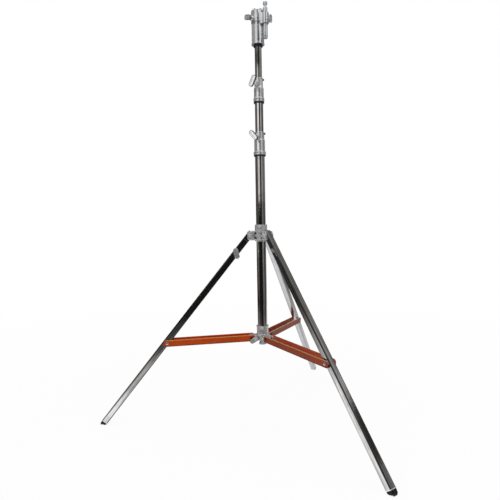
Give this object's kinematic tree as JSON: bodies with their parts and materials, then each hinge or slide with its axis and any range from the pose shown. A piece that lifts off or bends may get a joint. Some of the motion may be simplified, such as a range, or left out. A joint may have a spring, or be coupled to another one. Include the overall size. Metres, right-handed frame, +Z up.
{
  "type": "combo stand",
  "caption": "Folding steel tripod stand: telescoping tube column, clamp collars with T-handles, braced square legs, spigot socket and small sliding pin on top.",
  "frame": {"origin": "middle of the footprint box, on the floor", "axes": "+Z up along the column; the levelling leg points along -X; +Y to its right, seen from above"},
  "size_m": [0.9178, 1.0578, 1.506],
  "materials": {
    "chrome_tube": "bright chrome plate on drawn steel tube",
    "chrome_casting": "chrome plate on cast metal, slightly uneven",
    "chrome_handle": "chrome plate on cast T-handles",
    "chrome_rivet": "bright rivet and washer",
    "orange_paint": "orange-brown gloss paint on folded sheet",
    "brown_paint": "red-brown gloss paint on folded sheet",
    "rubber_cap": "matte black rubber",
    "black_ring": "black ring",
    "nylon_guide": "white nylon",
    "dark_fastener": "dark oiled steel",
    "brass_pad": "machined brass"
  },
  "bodies": {
    "column": {"base_column": "chrome_tube", "column_plug": "chrome_casting", "leg_casting": "chrome_casting", "leg_a_hinge_bolt": "dark_fastener", "leg_b_hinge_bolt": "dark_fastener", "leg_c_hinge_bolt": "dark_fastener", "collar_2": "chrome_casting", "collar_2_ring": "black_ring", "collar_2_rim_screw": "dark_fastener", "collar_2_guide_screw": "dark_fastener", "collar_2_brake_pad": "brass_pad"},
    "collar_2_handle": {"collar_2_handle": "chrome_handle"},
    "riser_1": {"riser_1": "chrome_tube", "riser_1_bushing": "nylon_guide", "collar_1": "chrome_casting", "collar_1_ring": "black_ring", "collar_1_rim_screw": "dark_fastener", "collar_1_guide_screw": "dark_fastener", "collar_1_brake_pad": "brass_pad"},
    "collar_1_handle": {"collar_1_handle": "chrome_handle"},
    "riser_2": {"riser_2": "chrome_tube", "riser_2_bushing": "nylon_guide", "receiver": "chrome_casting", "receiver_ring": "black_ring", "receiver_upper_screw": "dark_fastener", "receiver_lower_screw": "dark_fastener", "pin_bracket": "chrome_casting"},
    "receiver_handle": {"receiver_handle": "chrome_handle"},
    "small_pin": {"small_pin": "chrome_tube"},
    "pin_handle": {"pin_handle": "chrome_handle"},
    "brace_collar": {"brace_collar": "chrome_casting", "brace_a_collar_pin": "chrome_rivet", "brace_b_collar_pin": "chrome_rivet", "brace_c_collar_pin": "chrome_rivet"},
    "brace_collar_handle": {"brace_collar_handle": "chrome_handle"},
    "brace_a": {"brace_a": "orange_paint", "brace_a_left_rivet": "chrome_rivet", "brace_a_right_rivet": "chrome_rivet"},
    "brace_b": {"brace_b": "brown_paint", "brace_b_left_rivet": "chrome_rivet", "brace_b_right_rivet": "chrome_rivet"},
    "brace_c": {"brace_c": "brown_paint", "brace_c_left_rivet": "chrome_rivet", "brace_c_right_rivet": "chrome_rivet"},
    "leg_a": {"leg_a_inner_bar": "chrome_tube"},
    "leg_a_tube": {"leg_a_tube": "chrome_tube", "leg_a_foot": "rubber_cap", "leg_a_lock_boss": "chrome_casting"},
    "leg_a_handle": {"leg_a_handle": "chrome_handle"},
    "leg_b": {"leg_b": "chrome_tube", "leg_b_foot": "rubber_cap"},
    "leg_c": {"leg_c": "chrome_tube", "leg_c_foot": "rubber_cap"}
  },
  "joints": [
    {"name": "leg_a_fold", "type": "hinge", "parent": "column", "child": "leg_a", "pos_m": [0.10425, 0, 0.685], "axis": [0, -1, 0], "range_deg": [0, 32.44]},
    {"name": "leg_b_fold", "type": "hinge", "parent": "column", "child": "leg_b", "pos_m": [0.1695, -0.03767, 0.685], "axis": [0.866, 0.5, 0], "range_deg": [0, 32.44]},
    {"name": "leg_c_fold", "type": "hinge", "parent": "column", "child": "leg_c", "pos_m": [0.1695, 0.03767, 0.685], "axis": [-0.866, 0.5, 0], "range_deg": [0, 32.44]},
    {"name": "brace_collar_slide", "type": "slide", "parent": "column", "child": "brace_collar", "axis": [0, 0, 1], "range_m": [0, 0.19014]},
    {"name": "brace_a_fold", "type": "hinge", "parent": "brace_collar", "child": "brace_a", "pos_m": [0.10494, 0, 0.307], "axis": [0, -1, 0], "range_deg": [0, 78.31]},
    {"name": "brace_b_fold", "type": "hinge", "parent": "brace_collar", "child": "brace_b", "pos_m": [0.16914, -0.03707, 0.307], "axis": [0.866, 0.5, 0], "range_deg": [0, 78.31]},
    {"name": "brace_c_fold", "type": "hinge", "parent": "brace_collar", "child": "brace_c", "pos_m": [0.16914, 0.03707, 0.307], "axis": [-0.866, 0.5, 0], "range_deg": [0, 78.31]},
    {"name": "leg_a_level", "type": "slide", "parent": "leg_a", "child": "leg_a_tube", "axis": [-0.6285, 0, -0.7778], "range_m": [0, 0.16]},
    {"name": "riser_1_slide", "type": "slide", "parent": "column", "child": "riser_1", "axis": [0, 0, 1], "range_m": [-0.095, 0.505]},
    {"name": "riser_2_slide", "type": "slide", "parent": "riser_1", "child": "riser_2", "axis": [0, 0, 1], "range_m": [-0.1, 0.6]},
    {"name": "small_pin_slide", "type": "slide", "parent": "riser_2", "child": "small_pin", "axis": [0, 0, 1], "range_m": [-0.025, 0.04]},
    {"name": "collar_2_handle_turn", "type": "hinge", "parent": "column", "child": "collar_2_handle", "pos_m": [0.13275, -0.02598, 1.04], "axis": [-0.5, -0.866, 0], "range_deg": [0, 360]},
    {"name": "collar_1_handle_turn", "type": "hinge", "parent": "riser_1", "child": "collar_1_handle", "pos_m": [0.13275, -0.02598, 1.2275], "axis": [-0.5, -0.866, 0], "range_deg": [0, 360]},
    {"name": "receiver_handle_turn", "type": "hinge", "parent": "riser_2", "child": "receiver_handle", "pos_m": [0.12078, -0.01315, 1.454], "axis": [-0.8988, -0.4384, 0], "range_deg": [0, 360]},
    {"name": "pin_handle_turn", "type": "hinge", "parent": "riser_2", "child": "pin_handle", "pos_m": [0.18298, -0.02957, 1.443], "axis": [0.766, -0.6428, 0], "range_deg": [0, 360]},
    {"name": "brace_collar_handle_turn", "type": "hinge", "parent": "brace_collar", "child": "brace_collar_handle", "pos_m": [0.12817, -0.02902, 0.3087], "axis": [-0.5592, -0.829, 0], "range_deg": [0, 360]},
    {"name": "leg_a_handle_turn", "type": "hinge", "parent": "leg_a_tube", "child": "leg_a_handle", "pos_m": [0.05397, -0.03, 0.62277], "axis": [0, -1, 0], "range_deg": [0, 360]}
  ],
  "couplings": [
    {"joint": "leg_b_fold", "follows": "leg_a_fold", "ratio": 1},
    {"joint": "leg_c_fold", "follows": "leg_a_fold", "ratio": 1},
    {"joint": "brace_collar_slide", "follows": "leg_a_fold", "m_per_rad": 0.33583},
    {"joint": "brace_a_fold", "follows": "leg_a_fold", "ratio": 2.414},
    {"joint": "brace_b_fold", "follows": "leg_a_fold", "ratio": 2.414},
    {"joint": "brace_c_fold", "follows": "leg_a_fold", "ratio": 2.414}
  ]
}
